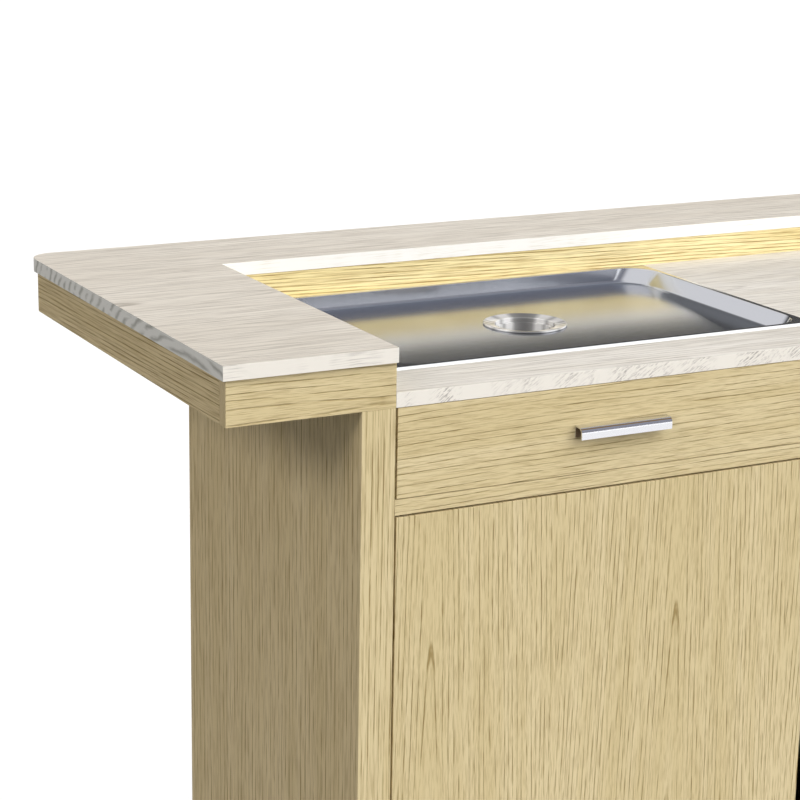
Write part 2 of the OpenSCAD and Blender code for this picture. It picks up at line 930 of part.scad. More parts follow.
// Door, with the holes for its pivot pins
module door(side) {
    color("#d8c79b")
        on_side(side)
            difference() {
                board([door_in, back(0), door_z], [door_out, back(front_t), door_top]);
                for (z = [door_z - past, door_top - pivot_in_door])
                    translate([pivot_x, back(pivot_depth), z])
                        cylinder(r = pivot_r, h = pivot_in_door + past);
            }
}

// A door's two pivot pins
module pivot_pins(side) {
    pin_out = reveal + bush_len - pivot_short;
    color("silver")
        on_side(side)
            translate([pivot_x, back(pivot_depth), 0]) {
                translate([0, 0, door_z - pin_out])
                    cylinder(r = pivot_r, h = pin_out + pivot_in_door);
                translate([0, 0, door_top - pivot_in_door])
                    cylinder(r = pivot_r, h = pin_out + pivot_in_door);
            }
}

// Bushes for the pivot pins, each with a collar in the gap beside the door
module pivot_bushes() {
    color("dimgray")
        for (side = [LEFT, RIGHT])
            translate([side * pivot_x, back(pivot_depth), 0]) {
                translate([0, 0, floor_z])
                    pivot_bush();
                translate([0, 0, rail_z])
                    mirror([0, 0, 1])
                        pivot_bush();
            }
}

// One bush, pressed down into a board whose face is at z = 0
module pivot_bush() {
    bore = pivot_r + pivot_clear;
    difference() {
        union() {
            translate([0, 0, -bush_len])
                cylinder(r = bore + bush_wall, h = bush_len);
            cylinder(r = pivot_depth - collar_setback, h = reveal - collar_gap);
        }
        translate([0, 0, -bush_len - past])
            cylinder(r = bore, h = bush_len + reveal + 2 * past);
    }
}

// Magnetic catches under the rail, behind the doors' free edges
module door_catches() {
    face = front_t + strike_t + catch_gap;
    color("#efeee8")
        for (side = [LEFT, RIGHT])
            on_side(side)
                board(
                    [door_in + catch_inset, back(face), rail_z - catch_h],
                    [door_in + catch_inset + catch_w, back(face + catch_d), rail_z]);
}

// Steel plate on the back of a door that its catch pulls on
module strike_plate(side) {
    color("silver")
        on_side(side)
            board(
                [door_in + catch_inset, back(front_t), rail_z - catch_h],
                [door_in + catch_inset + catch_w, back(front_t + strike_t), door_top - strike_drop]);
}

// Shallow pressed sink, whose rim stands on the worktop
module sink_tray() {
    color("#9a9a98")
        translate([sink_x, back(sink_mid_depth), 0])
            difference() {
                union() {
                    translate([0, 0, rim_z - sink_sheet])
                        linear_extrude(sink_sheet)
                            round_rect(sink_w, sink_d, rim_corner_r);
                    translate([0, 0, work_z])
                        linear_extrude(rim_rise)
                            difference() {
                                round_rect(sink_w, sink_d, rim_corner_r);
                                rim_inside(0);
                            }
                    translate([0, 0, apron_z])
                        linear_extrude(rim_z - apron_z)
                            bowl_outline(sink_sheet);
                }
                translate([0, 0, bowl_floor_z])
                    linear_extrude(rim_z - bowl_floor_z + past)
                        bowl_outline(0);
                translate([0, drain_offset, apron_z - past])
                    cylinder(r = cup_out_r + cup_clear, h = sink_sheet + 2 * past);
            }
}

// Outline of the inside of the rim's turned-down edge, drawn in by the given amount
module rim_inside(inset) {
    in = sink_sheet + inset;
    round_rect(sink_w - 2 * in, sink_d - 2 * in, rim_corner_r - sink_sheet);
}

// Foam seal between the sink's rim and the worktop
module sink_seal() {
    color("dimgray")
        translate([sink_x, back(sink_mid_depth), work_z])
            linear_extrude(rim_rise - sink_sheet)
                difference() {
                    rim_inside(seal_clear);
                    rim_inside(seal_clear + seal_w);
                }
}

// Clips under the worktop that bridge the cut-out's front and ends and hold the sink down
module sink_clips() {
    color("silver")
        translate([sink_x, back(sink_mid_depth), apron_z]) {
            for (x = clip_x)
                translate([x, clip_in - sink_d / 2, 0])
                    board([-clip_w / 2, -clip_len / 2, -clip_t], [clip_w / 2, clip_len / 2, 0]);
            for (x = [-1, 1], y = [-1, 1])
                translate([x * (sink_w / 2 - clip_in), y * (sink_d / 2 - clip_inset), 0])
                    board([-clip_len / 2, -clip_w / 2, -clip_t], [clip_len / 2, clip_w / 2, 0]);
        }
}

// Strainer: a flange on the sink's floor, a cup below it and a spigot for the tailpiece
module strainer_body() {
    color("#d9dbde")
        translate([sink_x, back(drain_depth), 0])
            difference() {
                union() {
                    translate([0, 0, bowl_floor_z])
                        cylinder(r = flange_r, h = flange_t);
                    translate([0, 0, cup_floor_z - cup_wall])
                        cylinder(r = cup_out_r, h = bowl_floor_z + flange_t - cup_floor_z + cup_wall);
                    translate([0, 0, spigot_z])
                        cylinder(r = spigot_out_r, h = spigot_len);
                }
                translate([0, 0, cup_floor_z])
                    cylinder(r = cup_r, h = cup_depth + flange_t + past);
                translate([0, 0, spigot_z - past])
                    cylinder(r = spigot_in_r, h = pipe_entry + past);
                translate([0, 0, spigot_z - past])
                    cylinder(r = spigot_in_r - pipe_wall, h = spigot_len + cup_wall + 2 * past);
            }
}

// Rubber washer between the sink's underside and the lock nut
module strainer_washer() {
    color("#2c2c2c")
        translate([sink_x, back(drain_depth), apron_z - washer_t])
            tube(locknut_out_r, cup_out_r + cup_clear, washer_t);
}

// Lock nut that clamps the strainer to the sink
module strainer_locknut() {
    color("#c8b37a")
        translate([sink_x, back(drain_depth), apron_z - washer_t - locknut_h])
            tube(locknut_out_r, cup_out_r, locknut_h);
}

// Loose basket in the strainer's cup, lifted out by its knob
module strainer_basket() {
    color("#c4c6c9")
        translate([sink_x, back(drain_depth), 0]) {
            difference() {
                union() {
                    translate([0, 0, basket_floor_z])
                        cylinder(r = basket_out_r, h = basket_depth);
                    translate([0, 0, basket_top_z - basket_sheet])
                        cylinder(r = basket_top_r, h = basket_sheet);
                    translate([0, 0, basket_foot_z])
                        cylinder(r = spigot_out_r, h = basket_foot_h + basket_sheet);
                }
                translate([0, 0, basket_floor_z + basket_sheet])
                    cylinder(r = basket_out_r - basket_sheet, h = basket_depth);
                basket_hole_set();
            }
            translate([0, 0, basket_floor_z])
                cylinder(r = knob_r / 2, h = knob_h);
            translate([0, 0, basket_floor_z + knob_h - knob_r / 2])
                cylinder(r = knob_r, h = knob_r / 2);
        }
}

// Rings of holes through the basket's floor and foot
module basket_hole_set() {
    for (ring = [0, 1, 2], i = [1 : basket_rings[ring]])
        rotate([0, 0, i * 360 / basket_rings[ring]])
            translate([basket_ring_r + ring * basket_ring_pitch, 0, basket_foot_z - past])
                cylinder(r = basket_hole_r, h = basket_foot_h + basket_sheet + 2 * past, $fn = 24);
}

// Straight pipe from the strainer down into the trap
module tailpiece() {
    color("#e9e8e4")
        translate([sink_x, back(drain_depth), tail_z])
            tube(pipe_r, pipe_r - pipe_wall, tail_len);
}

// Union nuts on the tailpiece's two ends and at the trap's outlet
module union_nuts() {
    color("#e9e8e4")
        translate([sink_x, back(drain_depth), 0]) {
            translate([0, 0, spigot_z])
                mirror([0, 0, 1])
                    union_nut();
            translate([0, 0, trap_top])
                union_nut();
            translate([0, outlet_end, trap_outlet_z])
                rotate([-90, 0, 0])
                    union_nut();
        }
}

// One union nut over a socket whose end is at z = 0, with its lip round the pipe
module union_nut() {
    thread_r = spigot_out_r + thread_clear;
    skirt = nut_h - nut_lip;
    difference() {
        translate([0, 0, -skirt])
            cylinder(r = thread_r + nut_wall, h = nut_h);
        translate([0, 0, -skirt - past])
            cylinder(r = thread_r, h = skirt + past);
        translate([0, 0, -past])
            cylinder(r = spigot_in_r, h = nut_lip + 2 * past);
    }
}

// Bottle trap's body, with a socket on top and another towards the back
module trap_body() {
    color("#e9e8e4")
        translate([sink_x, back(drain_depth), 0])
            difference() {
                union() {
                    translate([0, 0, trap_z])
                        cylinder(r = trap_r, h = trap_h);
                    translate([0, 0, trap_body_top])
                        cylinder(r = spigot_out_r, h = socket_h);
                    translate([0, 0, trap_outlet_z])
                        rotate([-90, 0, 0])
                            cylinder(r = spigot_out_r, h = outlet_end);
                }
                translate([0, 0, trap_z - past])
                    cylinder(r = trap_r - socket_wall, h = trap_h - socket_wall + past);
                translate([0, 0, trap_body_top - socket_wall - past])
                    cylinder(r = spigot_in_r, h = socket_h + socket_wall + 2 * past);
                translate([0, 0, trap_outlet_z])
                    rotate([-90, 0, 0])
                        cylinder(r = spigot_in_r, h = outlet_end + past);
            }
}

// Cup that closes the trap from below, with a collar that screws over the body
module trap_cup() {
    color("#dedcd6")
        translate([sink_x, back(drain_depth), trap_z])
            difference() {
                union() {
                    translate([0, 0, -trap_cup_h])
                        cylinder(r = trap_r, h = trap_cup_h);
                    translate([0, 0, -socket_wall])
                        cylinder(r = trap_collar_r, h = cup_collar_h + socket_wall);
                }
                translate([0, 0, socket_wall - trap_cup_h])
                    cylinder(r = trap_r - socket_wall, h = trap_cup_h);
                cylinder(r = trap_r + thread_clear, h = cup_collar_h + past);
            }
}

// Elbow from the trap's outlet down to the down pipe
module waste_elbow() {
    color("#e9e8e4")
        translate([sink_x, back(drain_depth), trap_outlet_z]) {
            translate([0, elbow_start, 0])
                rotate([-90, 0, 0])
                    tube(pipe_r, pipe_r - pipe_wall, waste_run - elbow_r - elbow_start);
            translate([0, waste_run - elbow_r, -elbow_r])
                rotate([90, 0, 90])
                    rotate_extrude(angle = 90)
                        translate([elbow_r, 0])
                            difference() {
                                circle(pipe_r);
                                circle(pipe_r - pipe_wall);
                            }
            translate([0, waste_run, -elbow_r - elbow_end])
                tube(pipe_r, pipe_r - pipe_wall, elbow_end);
        }
}

// Down pipe through the bottom panel, with a cover ring there and an open lower end
module waste_pipe() {
    sleeve_h = 2 * elbow_end;
    color("#e9e8e4")
        translate([sink_x, back(pipe_depth), 0]) {
            translate([0, 0, plinth_h - cover_t])
                tube(pipe_r + floor_hole_clear + cover_lap, pipe_r, cover_t);
            translate([0, 0, outlet_rise])
                tube(pipe_r, pipe_r - pipe_wall, elbow_foot_z - outlet_rise);
            translate([0, 0, elbow_foot_z - elbow_end])
                tube(spigot_out_r, pipe_r, sleeve_h);
        }
}

raised_top();
top_battens();
front_apron(LEFT);  // front_apron_left
front_apron(RIGHT);  // front_apron_right
side_apron(LEFT);  // side_apron_left
side_apron(RIGHT);  // side_apron_right
rear_apron();
wing_fascia(LEFT);  // wing_fascia_left
wing_fascia(RIGHT);  // wing_fascia_right
rear_fascia();
worktop();
side_panel(LEFT);  // side_panel_left
side_panel(RIGHT);  // side_panel_right
back_panel();
bottom_panel();
plinth_board();
centre_partition();
cross_rail();
shelf();
shelf_pins();
angle_brackets();
bracket_screws();
foot_glides();
drawer_front(LEFT);  // left_drawer_front
drawer_sides(LEFT, left_box_d);  // left_drawer_sides
drawer_ends(LEFT, left_box_d);  // left_drawer_ends
drawer_bottom(LEFT, left_box_d);  // left_drawer_bottom
drawer_pull(LEFT);  // left_drawer_pull
pull_screws(LEFT);  // left_pull_screws
runner_rails(LEFT, left_box_d);  // left_runner_rails
runner_slides(LEFT, left_box_d);  // left_runner_slides
drawer_front(RIGHT);  // right_drawer_front
drawer_sides(RIGHT, right_box_d);  // right_drawer_sides
drawer_ends(RIGHT, right_box_d);  // right_drawer_ends
drawer_bottom(RIGHT, right_box_d);  // right_drawer_bottom
drawer_pull(RIGHT);  // right_drawer_pull
pull_screws(RIGHT);  // right_pull_screws
runner_rails(RIGHT, right_box_d);  // right_runner_rails
runner_slides(RIGHT, right_box_d);  // right_runner_slides
door(LEFT);  // left_door
door(RIGHT);  // right_door
pivot_pins(LEFT);  // left_pivot_pins
pivot_pins(RIGHT);  // right_pivot_pins
pivot_bushes();
strike_plate(LEFT);  // left_strike_plate
strike_plate(RIGHT);  // right_strike_plate
door_catches();
sink_tray();
sink_seal();
sink_clips();
strainer_body();
strainer_washer();
strainer_locknut();
strainer_basket();
tailpiece();
union_nuts();
trap_body();
trap_cup();
waste_elbow();
waste_pipe();
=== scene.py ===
import json
import math
import bmesh
import bpy
from mathutils import Matrix, Vector


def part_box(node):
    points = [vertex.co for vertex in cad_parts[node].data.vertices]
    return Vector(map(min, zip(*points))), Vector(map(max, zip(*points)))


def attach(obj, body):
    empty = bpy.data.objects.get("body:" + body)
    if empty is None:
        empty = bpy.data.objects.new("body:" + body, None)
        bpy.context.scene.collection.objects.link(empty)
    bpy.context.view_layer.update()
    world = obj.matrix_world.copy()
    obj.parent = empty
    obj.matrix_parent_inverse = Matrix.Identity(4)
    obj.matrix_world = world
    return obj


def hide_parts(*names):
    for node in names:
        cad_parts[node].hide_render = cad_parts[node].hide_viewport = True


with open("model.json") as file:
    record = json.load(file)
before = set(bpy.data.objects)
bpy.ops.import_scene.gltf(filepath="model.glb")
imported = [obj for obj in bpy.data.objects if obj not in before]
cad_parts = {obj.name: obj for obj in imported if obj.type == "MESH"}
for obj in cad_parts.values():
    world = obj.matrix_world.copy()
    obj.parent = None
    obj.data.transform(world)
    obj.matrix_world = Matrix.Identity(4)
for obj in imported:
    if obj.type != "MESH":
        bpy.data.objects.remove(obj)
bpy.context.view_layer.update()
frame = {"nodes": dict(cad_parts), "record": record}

# Bar cabinet in pale oak with whitewashed tops, a shallow steel sink and aluminium pulls
print("frame loaded:", len(frame["nodes"]), "nodes")


# node tools

def paint(red, green, blue):
    # a colour as it looks on screen, 0 to 255, turned into Blender's linear values
    linear = []
    for level in (red, green, blue):
        share = level / 255
        linear.append(share / 12.92 if share <= 0.04045 else ((share + 0.055) / 1.055) ** 2.4)
    return (*linear, 1.0)


def addNode(tree, kind, inputs=None, **settings):
    node = tree.nodes.new(kind)
    for name, value in settings.items():
        setattr(node, name, value)
    for socket, value in (inputs or {}).items():
        if isinstance(value, bpy.types.NodeSocket):
            tree.links.new(value, node.inputs[socket])
        else:
            node.inputs[socket].default_value = value
    return node


def calc(tree, operation, first, second=0.0):
    return addNode(tree, "ShaderNodeMath", {0: first, 1: second}, operation=operation).outputs[0]


def times(tree, first, second):
    return calc(tree, "MULTIPLY", first, second)


def plus(tree, first, second):
    return calc(tree, "ADD", first, second)


def remap(tree, value, low, high, newLow=0.0, newHigh=1.0):
    inputs = {0: value, 1: low, 2: high, 3: newLow, 4: newHigh}
    return addNode(tree, "ShaderNodeMapRange", inputs).outputs[0]


def blendColours(tree, share, first, second):
    node = addNode(tree, "ShaderNodeMix", data_type="RGBA")
    for socket, value in ((node.inputs[0], share), (node.inputs[6], first), (node.inputs[7], second)):
        if isinstance(value, bpy.types.NodeSocket):
            tree.links.new(value, socket)
        else:
            socket.default_value = value
    return node.outputs[2]


def noiseAt(tree, x, y, z, detail=2.0, roughness=0.5):
    spot = addNode(tree, "ShaderNodeCombineXYZ", {0: x, 1: y, 2: z}).outputs[0]
    inputs = {"Vector": spot, "Scale": 1.0, "Detail": detail, "Roughness": roughness}
    return addNode(tree, "ShaderNodeTexNoise", inputs).outputs[0]


def startMaterial(name):
    material = bpy.data.materials.new(name)
    material.use_nodes = True
    tree = material.node_tree
    tree.nodes.clear()
    shader = addNode(tree, "ShaderNodeBsdfPrincipled")
    output = addNode(tree, "ShaderNodeOutputMaterial")
    tree.links.new(shader.outputs[0], output.inputs[0])
    return material, tree, shader


def setShader(tree, shader, **values):
    # plain numbers go on the shader's own sockets, textures are linked to them
    names = {"colour": "Base Color", "roughness": "Roughness", "metallic": "Metallic", "normal": "Normal",
             "specular": "Specular IOR Level"}
    for key, value in values.items():
        socket = shader.inputs[names[key]]
        if isinstance(value, bpy.types.NodeSocket):
            tree.links.new(value, socket)
        else:
            socket.default_value = value


def bumpFrom(tree, height, distance):
    inputs = {"Height": height, "Distance": distance, "Strength": 1.0}
    return addNode(tree, "ShaderNodeBump", inputs).outputs[0]


# oak

grainOrder = {"x": (2, 1, 0), "y": (2, 0, 1), "z": (0, 1, 2)}   # across, through, along


def placeParts(tree):
    # where a point lies, and which way its face looks
    coordinates = addNode(tree, "ShaderNodeTexCoord").outputs
    place = addNode(tree, "ShaderNodeSeparateXYZ", {0: coordinates["Object"]}).outputs
    facing = addNode(tree, "ShaderNodeSeparateXYZ", {0: coordinates["Normal"]}).outputs
    return place, facing


oakGrain = {
    "ringsPerMetre": 150.0,   # one dark line for each ring
    "leafHalf": 0.175,        # half the width of one leaf of veneer
    "leafShift": 0.0,
    "flatness": 0.012,        # how far under the leaf the tree's middle lies
    "taper": 0.026,           # how much the rings lean along the grain
    "slant": 0.83,            # how the rings run through the board's thickness
    "wander": 0.007,          # how far the rings stray sideways
    "wanderAcross": 8.0,
    "wanderAlong": 1.4,
    "jitter": 0.6,            # how unevenly the rings are spaced
    "jitterAlong": 4.0,
    "jitterAcross": 0.45,     # how soon the uneven spacing changes from ring to ring
    "lineWidth": 0.20,        # share of a ring that its dark line takes
    "lineCore": 0.35,         # share of the line that is fully dark
    "lineRun": 0.050,         # length of a dark line, in metres
    "lineAcross": 1.3,        # how soon the breaks in the lines change from ring to ring
    "lineLow": 0.38,          # noise below this breaks the lines, and above lineHigh leaves them whole
    "lineHigh": 0.60,
    "lineDark": 0.90,
    "fibresPerMetre": 800.0,
    "fibreRun": 0.022,
    "fibreLow": 0.45,
    "fibreHigh": 0.68,
    "fibreDark": 0.38,
    "fibreRelief": 0.25,      # depth of a fibre as a share of a line's
    "toneAcross": 0.33,       # slow change from pale to darker wood
    "toneAlong": 2.0,
    "toneLow": 0.35,
    "toneHigh": 0.65,
    "reliefDepth": 0.0006,
    "roughness": 0.6,
    "specular": 0.18,
}
noisePlane = {                # keeps the noises of one wood apart
    "jitter": 7.5,
    "line": 0.5,
    "fibre": 2.5,
    "tone": 1.5,
    "fleck": 0.5,
    "crowd": (1.5, 2.5),
    "wobble": 0.0,
    "break": 4.0,
}


def ringCount(tree, across, through, along, look):
    # growth rings counted from the middle of a leaf, so that they arch along the grain
    wander = noiseAt(
        tree,
        times(tree, across, look["wanderAcross"]),
        times(tree, through, look["wanderAcross"]),
        times(tree, along, look["wanderAlong"]),
        detail=2.0)
    slanted = plus(tree, across, times(tree, through, look["slant"]))
    strayed = plus(tree, slanted, times(tree, plus(tree, wander, -0.5), look["wander"] * 2))
    side = calc(tree, "PINGPONG", plus(tree, strayed, look["leafShift"]), look["leafHalf"])
    reach = calc(tree, "SQRT", plus(tree, times(tree, side, side), look["flatness"] ** 2))
    return times(tree, plus(tree, reach, times(tree, along, look["taper"])), look["ringsPerMetre"])


def grainMarks(tree, across, through, along, look):
    # dark lines, fine fibres and the slow change of tone of one piece of wood
    ring = ringCount(tree, across, through, along, look)
    stray = noiseAt(
        tree,
        times(tree, ring, look["jitterAcross"]),
        noisePlane["jitter"],
        times(tree, along, look["jitterAlong"]),
        detail=2.0)
    turns = plus(tree, ring, times(tree, plus(tree, stray, -0.5), look["jitter"] * 2))
    crest = times(tree, calc(tree, "PINGPONG", turns, 0.5), 2.0)
    line = remap(tree, crest, 1 - look["lineWidth"], 1 - look["lineWidth"] * look["lineCore"])
    dashes = noiseAt(
        tree,
        times(tree, ring, look["lineAcross"]),
        noisePlane["line"],
        calc(tree, "DIVIDE", along, look["lineRun"]),
        detail=3.0, roughness=0.6)
    line = times(tree, line, remap(tree, dashes, look["lineLow"], look["lineHigh"]))
    slanted = plus(tree, across, times(tree, through, look["slant"]))
    fibre = noiseAt(
        tree,
        times(tree, slanted, look["fibresPerMetre"]),
        noisePlane["fibre"],
        calc(tree, "DIVIDE", along, look["fibreRun"]),
        detail=1.5)
    fibre = remap(tree, fibre, look["fibreLow"], look["fibreHigh"])
    tone = noiseAt(
        tree,
        times(tree, ring, look["toneAcross"]),
        noisePlane["tone"],
        times(tree, along, look["toneAlong"]))
    tone = remap(tree, tone, look["toneLow"], look["toneHigh"])
    return line, fibre, tone


def woodColour(tree, marks, colours, look):
    line, fibre, tone = marks
    ground = blendColours(tree, tone, colours["ground"], colours["pale"])
    inked = plus(tree, times(tree, line, look["lineDark"]), times(tree, fibre, look["fibreDark"]))
    return blendColours(tree, calc(tree, "MINIMUM", inked, 1.0), ground, colours["line"])


def woodRelief(tree, marks, look):
    line, fibre = marks[:2]
    height = calc(tree, "SUBTRACT", 1.0, plus(tree, line, times(tree, fibre, look["fibreRelief"])))
    return bumpFrom(tree, height, look["reliefDepth"])


def oakMaterial(name, grain, colours, **changes):
    look = {**oakGrain, **changes}
    material, tree, shader = startMaterial(name)
    place = placeParts(tree)[0]
    across, through, along = (place[axis] for axis in grainOrder[grain])
    marks = grainMarks(tree, across, through, along, look)
    setShader(tree, shader, colour=woodColour(tree, marks, colours, look), roughness=look["roughness"],
              specular=look["specular"], normal=woodRelief(tree, marks, look))
    return material


oakColours = {"ground": paint(217, 200, 155), "pale": paint(226, 210, 168), "line": paint(160, 139, 92)}
# painted light: the rear fascia is the same oak made paler and yellower, for the stronger light that falls on
# it
rearPaintedLightColours = {"ground": paint(243, 226, 166), "pale": paint(250, 236, 184), "line": paint(176, 148, 94)}
boardColours = {"ground": paint(214, 198, 162), "pale": paint(222, 208, 174), "line": paint(190, 170, 132)}

oakDoor = oakMaterial("oakDoor", "z", oakColours, slant=0.0, leafShift=0.2225)
oakSide = oakMaterial("oakSide", "z", oakColours, leafHalf=0.9, taper=0.004, ringsPerMetre=130.0, slant=0.65,
                      wander=0.003, jitterAlong=1.5, lineRun=0.06, lineWidth=0.22, fibresPerMetre=650.0,
                      fibreRun=0.04, fibreDark=0.42)
oakDrawer = oakMaterial("oakDrawer", "x", oakColours, leafHalf=0.4, leafShift=0.06, taper=0.016,
                        ringsPerMetre=120.0, lineRun=0.06, wander=0.009, lineWidth=0.15, lineDark=0.75)
oakLevel = oakMaterial("oakLevel", "x", oakColours, leafHalf=0.5, taper=0.014, ringsPerMetre=130.0,
                       lineRun=0.06, slant=3.0, lineWidth=0.16, wander=0.006, lineDark=0.65)
oakDeep = oakMaterial("oakDeep", "y", oakColours, leafHalf=0.5, taper=0.02, ringsPerMetre=180.0,
                      lineRun=0.09, lineWidth=0.32, lineLow=0.34, lineHigh=0.58, lineDark=0.95,
                      wander=0.004, jitterAlong=2.0, fibreRun=0.05, fibreDark=0.5)
oakRearPaintedLight = oakMaterial("oakRearPaintedLight", "x", rearPaintedLightColours, leafHalf=0.5, taper=0.020, ringsPerMetre=180.0,
                      lineRun=0.08, lineWidth=0.36, lineLow=0.34, lineHigh=0.60, wander=0.004,
                      jitter=0.9, jitterAlong=3.0, fibreRun=0.05, fibreDark=0.5)
drawerBoard = oakMaterial("drawerBoard", "x", boardColours, lineDark=0.25, fibreDark=0.1)


# whitewashed oak, whose faces, front edges and ends look different

washGrain = {
    **oakGrain,               # as plain oak, apart from
    "leafHalf": 0.21,
    "flatness": 0.05,
    "taper": 0.035,
    "ringsPerMetre": 120.0,
    "lineRun": 0.09,
    "lineDark": 0.60,
    "fibresPerMetre": 600.0,
    "fibreRun": 0.060,
    "fibreDark": 0.62,
    "reliefDepth": 0.0003,
    "slant": 0.0,
    "wander": 0.006,
    "jitterAlong": 2.0,
    "specular": 0.03,
}
washFaces = {                 # which of the looks a face gets, by its normal
    "from": 0.6,
    "to": 0.8,
    "paintedLightFrom": 0.0,         # front edges behind this Y are painted brighter round the well, as painted light
    "paintedLightBlend": 0.01,
}
washFlecks = {                # flecks that cross the front edges at a slant
    "low": 0.50,
    "high": 0.64,
    "crowdsPerMetre": 30.0,
    "crowdLow": 0.40,
    "crowdHigh": 0.62,
}
washRings = {                 # growth rings on the ends
    "perMetre": 60.0,
    "middleBehind": 0.10,     # where the tree's middle lies, behind the front edge
    "middleDrop": -0.28,      # and under the board
    "low": 0.20,
    "high": 0.46,
    "wobble": 0.012,
    "wobbleAcross": 30.0,
    "wobbleUp": 60.0,
    "breakAcross": 0.7,
    "breakUp": 90.0,
    "breakLow": 0.38,
    "breakHigh": 0.55,
}
washColours = {"ground": paint(229, 223, 212), "pale": paint(237, 232, 222), "line": paint(178, 171, 160)}
workColours = {"ground": paint(236, 232, 223), "pale": paint(243, 240, 233), "line": paint(184, 178, 169)}
washEdge = {"ground": paint(243, 239, 230), "mark": paint(186, 180, 174)}
# painted light: the front edges round the well are made paler than the other front edges
washPaintedLight = {"ground": paint(252, 251, 246), "mark": paint(226, 221, 205)}
washEnd = {"ground": paint(240, 243, 240), "mark": paint(190, 193, 188)}


def fleckMarks(tree, place, lean, run, perMetre, dark):
    lean = math.radians(lean)
    ahead = plus(tree, times(tree, place[0], math.cos(lean)), times(tree, place[2], math.sin(lean)))
    aside = plus(tree, times(tree, place[2], math.cos(lean)), times(tree, place[0], -math.sin(lean)))
    field = noiseAt(
        tree,
        times(tree, aside, perMetre),
        times(tree, ahead, 1 / run),
        noisePlane["fleck"],
        detail=2.0, roughness=0.6)
    crowd = noiseAt(
        tree,
        times(tree, place[0], washFlecks["crowdsPerMetre"]),
        *noisePlane["crowd"],
        detail=1.0)
    crowd = remap(tree, crowd, washFlecks["crowdLow"], washFlecks["crowdHigh"])
    fleck = remap(tree, field, washFlecks["low"], washFlecks["high"])
    return times(tree, times(tree, fleck, crowd), dark)


def ringMarks(tree, place):
    look = washRings
    low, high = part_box("raised_top")
    across = plus(tree, place[1], -look["middleBehind"] - low[1])
    height = plus(tree, place[2], -look["middleDrop"] - high[2])
    radius = calc(tree, "SQRT", plus(tree, times(tree, across, across), times(tree, height, height)))
    wobble = noiseAt(
        tree,
        times(tree, place[1], look["wobbleAcross"]),
        times(tree, place[2], look["wobbleUp"]),
        noisePlane["wobble"])
    turns = times(tree, plus(tree, radius, times(tree, wobble, look["wobble"])), look["perMetre"])
    ring = remap(tree, calc(tree, "PINGPONG", turns, 0.5), look["low"], look["high"])
    broken = noiseAt(
        tree,
        times(tree, turns, look["breakAcross"]),
        times(tree, place[2], look["breakUp"]),
        noisePlane["break"])
    return times(tree, ring, remap(tree, broken, look["breakLow"], look["breakHigh"]))


def washMaterial(name, colours, lean, run, perMetre, dark):
    # lean, run and the rest are those of the flecks on the front edges
    material, tree, shader = startMaterial(name)
    place, facing = placeParts(tree)
    marks = grainMarks(tree, place[1], place[2], place[0], washGrain)
    top = woodColour(tree, marks, colours, washGrain)
    fleck = fleckMarks(tree, place, lean, run, perMetre, dark)
    front = blendColours(tree, fleck, washEdge["ground"], washEdge["mark"])
    # painted light on the front edges round the well
    inner = blendColours(tree, fleck, washPaintedLight["ground"], washPaintedLight["mark"])
    border, blend = washFaces["paintedLightFrom"], washFaces["paintedLightBlend"]
    front = blendColours(tree, remap(tree, place[1], border - blend, border + blend), front, inner)
    end = blendColours(tree, ringMarks(tree, place), washEnd["ground"], washEnd["mark"])
    isFront = remap(tree, times(tree, facing[1], -1.0), washFaces["from"], washFaces["to"])
    isEnd = remap(tree, calc(tree, "ABSOLUTE", facing[0]), washFaces["from"], washFaces["to"])
    colour = blendColours(tree, isEnd, blendColours(tree, isFront, top, front), end)
    setShader(tree, shader, colour=colour, roughness=washGrain["roughness"], specular=washGrain["specular"],
              normal=woodRelief(tree, marks, washGrain))
    return material


washedTop = washMaterial("washedTop", washColours, lean=1.0, run=0.050, perMetre=1000.0, dark=0.6)
washedWork = washMaterial("washedWork", workColours, lean=34.0, run=0.010, perMetre=700.0, dark=1.0)


# metals

brushSet = {"along": 6, "across": 900, "plain": 60, "low": 0.3, "high": 0.7}   # the first three per metre


def metalMaterial(name, colour, roughness, grain=None, wear=0.06, metallic=1.0):
    material, tree, shader = startMaterial(name)
    place = addNode(tree, "ShaderNodeTexCoord").outputs["Object"]
    scales = [brushSet["across"] if grain else brushSet["plain"]] * 3
    if grain:
        scales["xyz".index(grain)] = brushSet["along"]
    stretched = addNode(tree, "ShaderNodeVectorMath", {0: place, 1: scales}, operation="MULTIPLY").outputs[0]
    inputs = {"Vector": stretched, "Scale": 1.0, "Detail": 2.0}
    brush = addNode(tree, "ShaderNodeTexNoise", inputs).outputs[0]
    worn = remap(tree, brush, brushSet["low"], brushSet["high"], roughness - wear, roughness + wear)
    setShader(tree, shader, colour=colour, metallic=metallic, roughness=worn)
    return material


sinkSteel = metalMaterial("sinkSteel", paint(200, 203, 209), 0.17, "y", 0.004)
rimSteel = metalMaterial("rimSteel", paint(226, 226, 226), 0.14, None, 0.01)
pullAluminium = metalMaterial("pullAluminium", paint(230, 231, 235), 0.17, "x", 0.03)
# painted shade: a dark brown for the pull's hollow and the faces that look down
pullPaintedShade = metalMaterial("pullPaintedShade", paint(112, 92, 66), 0.55, "x", metallic=0.3)
platedSteel = metalMaterial("platedSteel", paint(196, 198, 202), 0.32)
pivotSteel = metalMaterial("pivotSteel", paint(84, 76, 62), 0.5)
screwSteel = metalMaterial("screwSteel", paint(170, 170, 174), 0.35)
nutBrass = metalMaterial("nutBrass", paint(205, 176, 112), 0.3)


# turned steel, with a painted sheen: light and dark rays from the drain's middle are painted into its colour

paintedSheen = (               # painted highlight and shade, by how squarely the wall faces front and back
    (0.00, 0.30), (0.10, 0.85), (0.20, 0.45), (0.32, 1.00), (0.52, 1.00), (0.64, 0.52), (0.76, 0.98),
    (0.88, 0.98), (0.95, 0.34), (1.00, 0.22),
)
paintedSheenFacing = math.radians(62.4)   # the painted sheen's axis, counted from X towards Y
